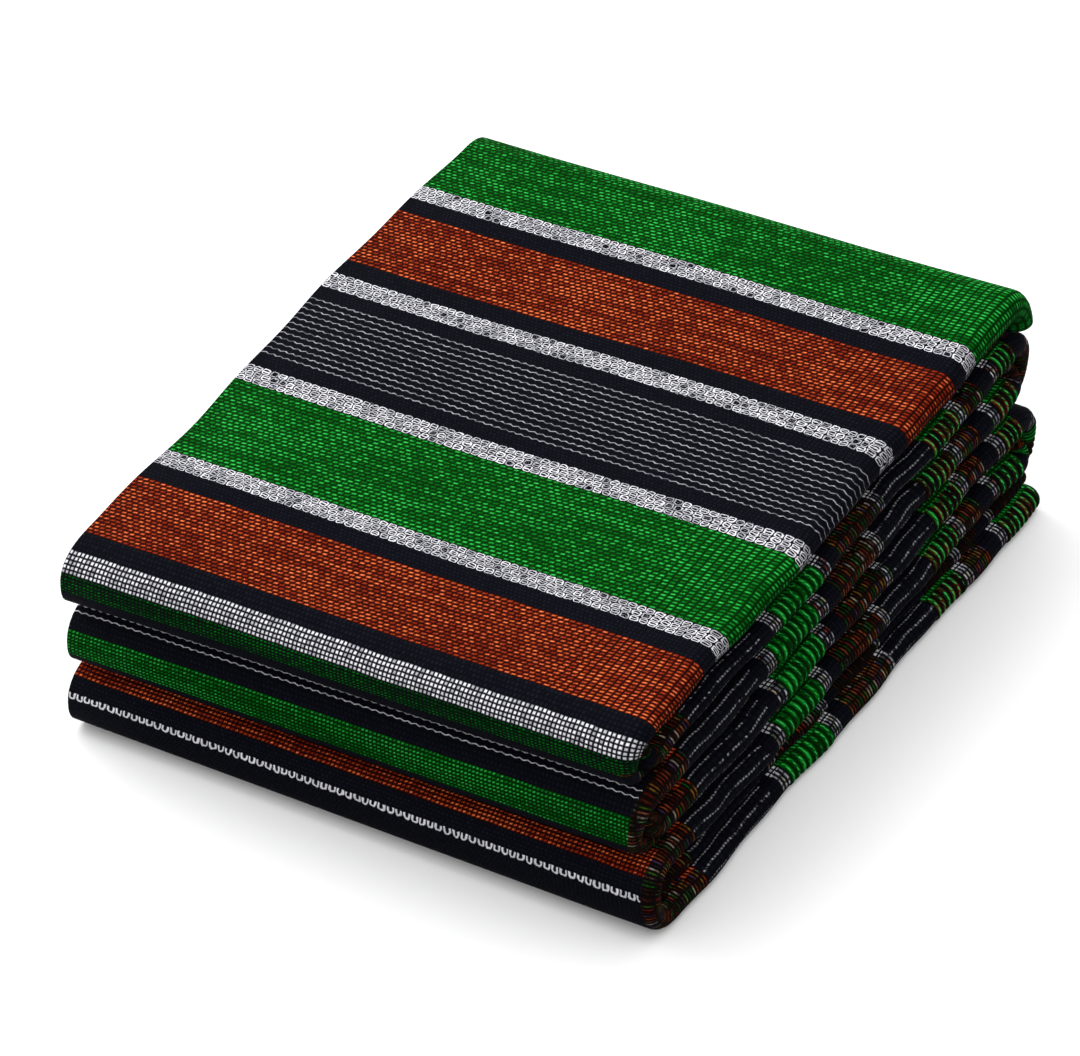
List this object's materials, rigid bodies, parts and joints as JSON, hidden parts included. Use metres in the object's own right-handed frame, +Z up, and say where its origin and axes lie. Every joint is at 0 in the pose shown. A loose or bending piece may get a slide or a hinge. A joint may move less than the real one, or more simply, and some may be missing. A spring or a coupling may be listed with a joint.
{
  "type": "folded woven cloth",
  "caption": "Striped hand-woven wrapper cloth, folded to and fro into a flat bundle with rounded folds along its front and looped edges at its side.",
  "frame": {"origin": "under the middle of the bundle, on the surface that it lies on", "axes": "+Z up, the rounded folds at the front face -Y, the stripes run along X with the looped edge at +X"},
  "size_m": [0.2635, 0.3205, 0.1108],
  "materials": {
    "yarn": "coarse hand weave, striped in green, rust, black and white"
  },
  "bodies": {
    "root": {"cloth": "yarn"}
  },
  "joints": []
}
